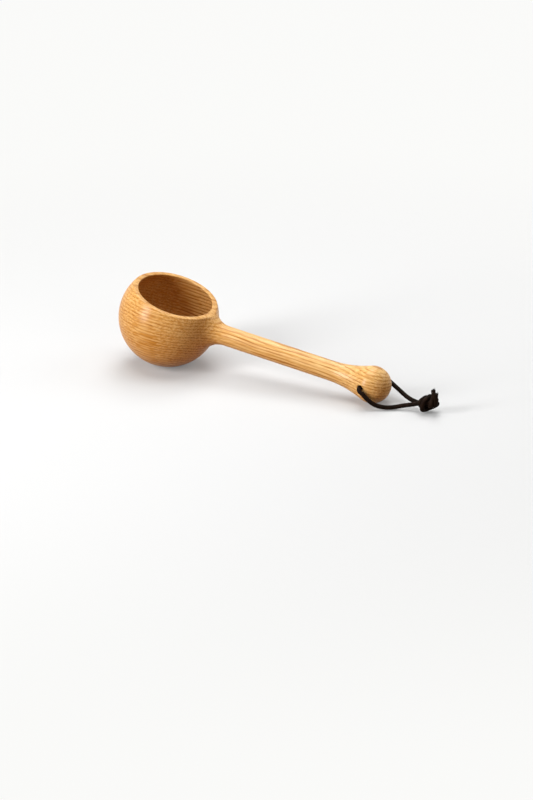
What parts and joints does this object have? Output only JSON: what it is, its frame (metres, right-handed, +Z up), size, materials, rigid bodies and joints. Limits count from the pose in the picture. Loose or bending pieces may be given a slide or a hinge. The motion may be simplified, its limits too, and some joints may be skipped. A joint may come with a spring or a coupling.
{
  "type": "coffee scoop",
  "caption": "Turned wooden coffee scoop: a round hollow bowl with a leaning mouth, a slim straight handle and a knob, with a knotted leather thong through the knob for hanging it up.",
  "frame": {"origin": "middle of the small flat under the bowl, on which the scoop rests", "axes": "+X along the handle towards the knob, seen from above; +Z up; +Y to the left when looking along the handle from the bowl"},
  "size_m": [0.1842, 0.054, 0.0467],
  "materials": {
    "wood": "oiled satin",
    "leather": "matte"
  },
  "bodies": {
    "scoop": {"scoop_body": "wood"},
    "thong": {"thong_loop": "leather", "thong_knot": "leather", "thong_tail_front": "leather", "thong_tail_rear": "leather"}
  },
  "joints": [
    {"name": "thong_swing", "type": "hinge", "parent": "scoop", "child": "thong", "pos_m": [0.11717, 0, 0.01038], "axis": [0, -1, 0], "range_deg": [-145, 150]}
  ]
}
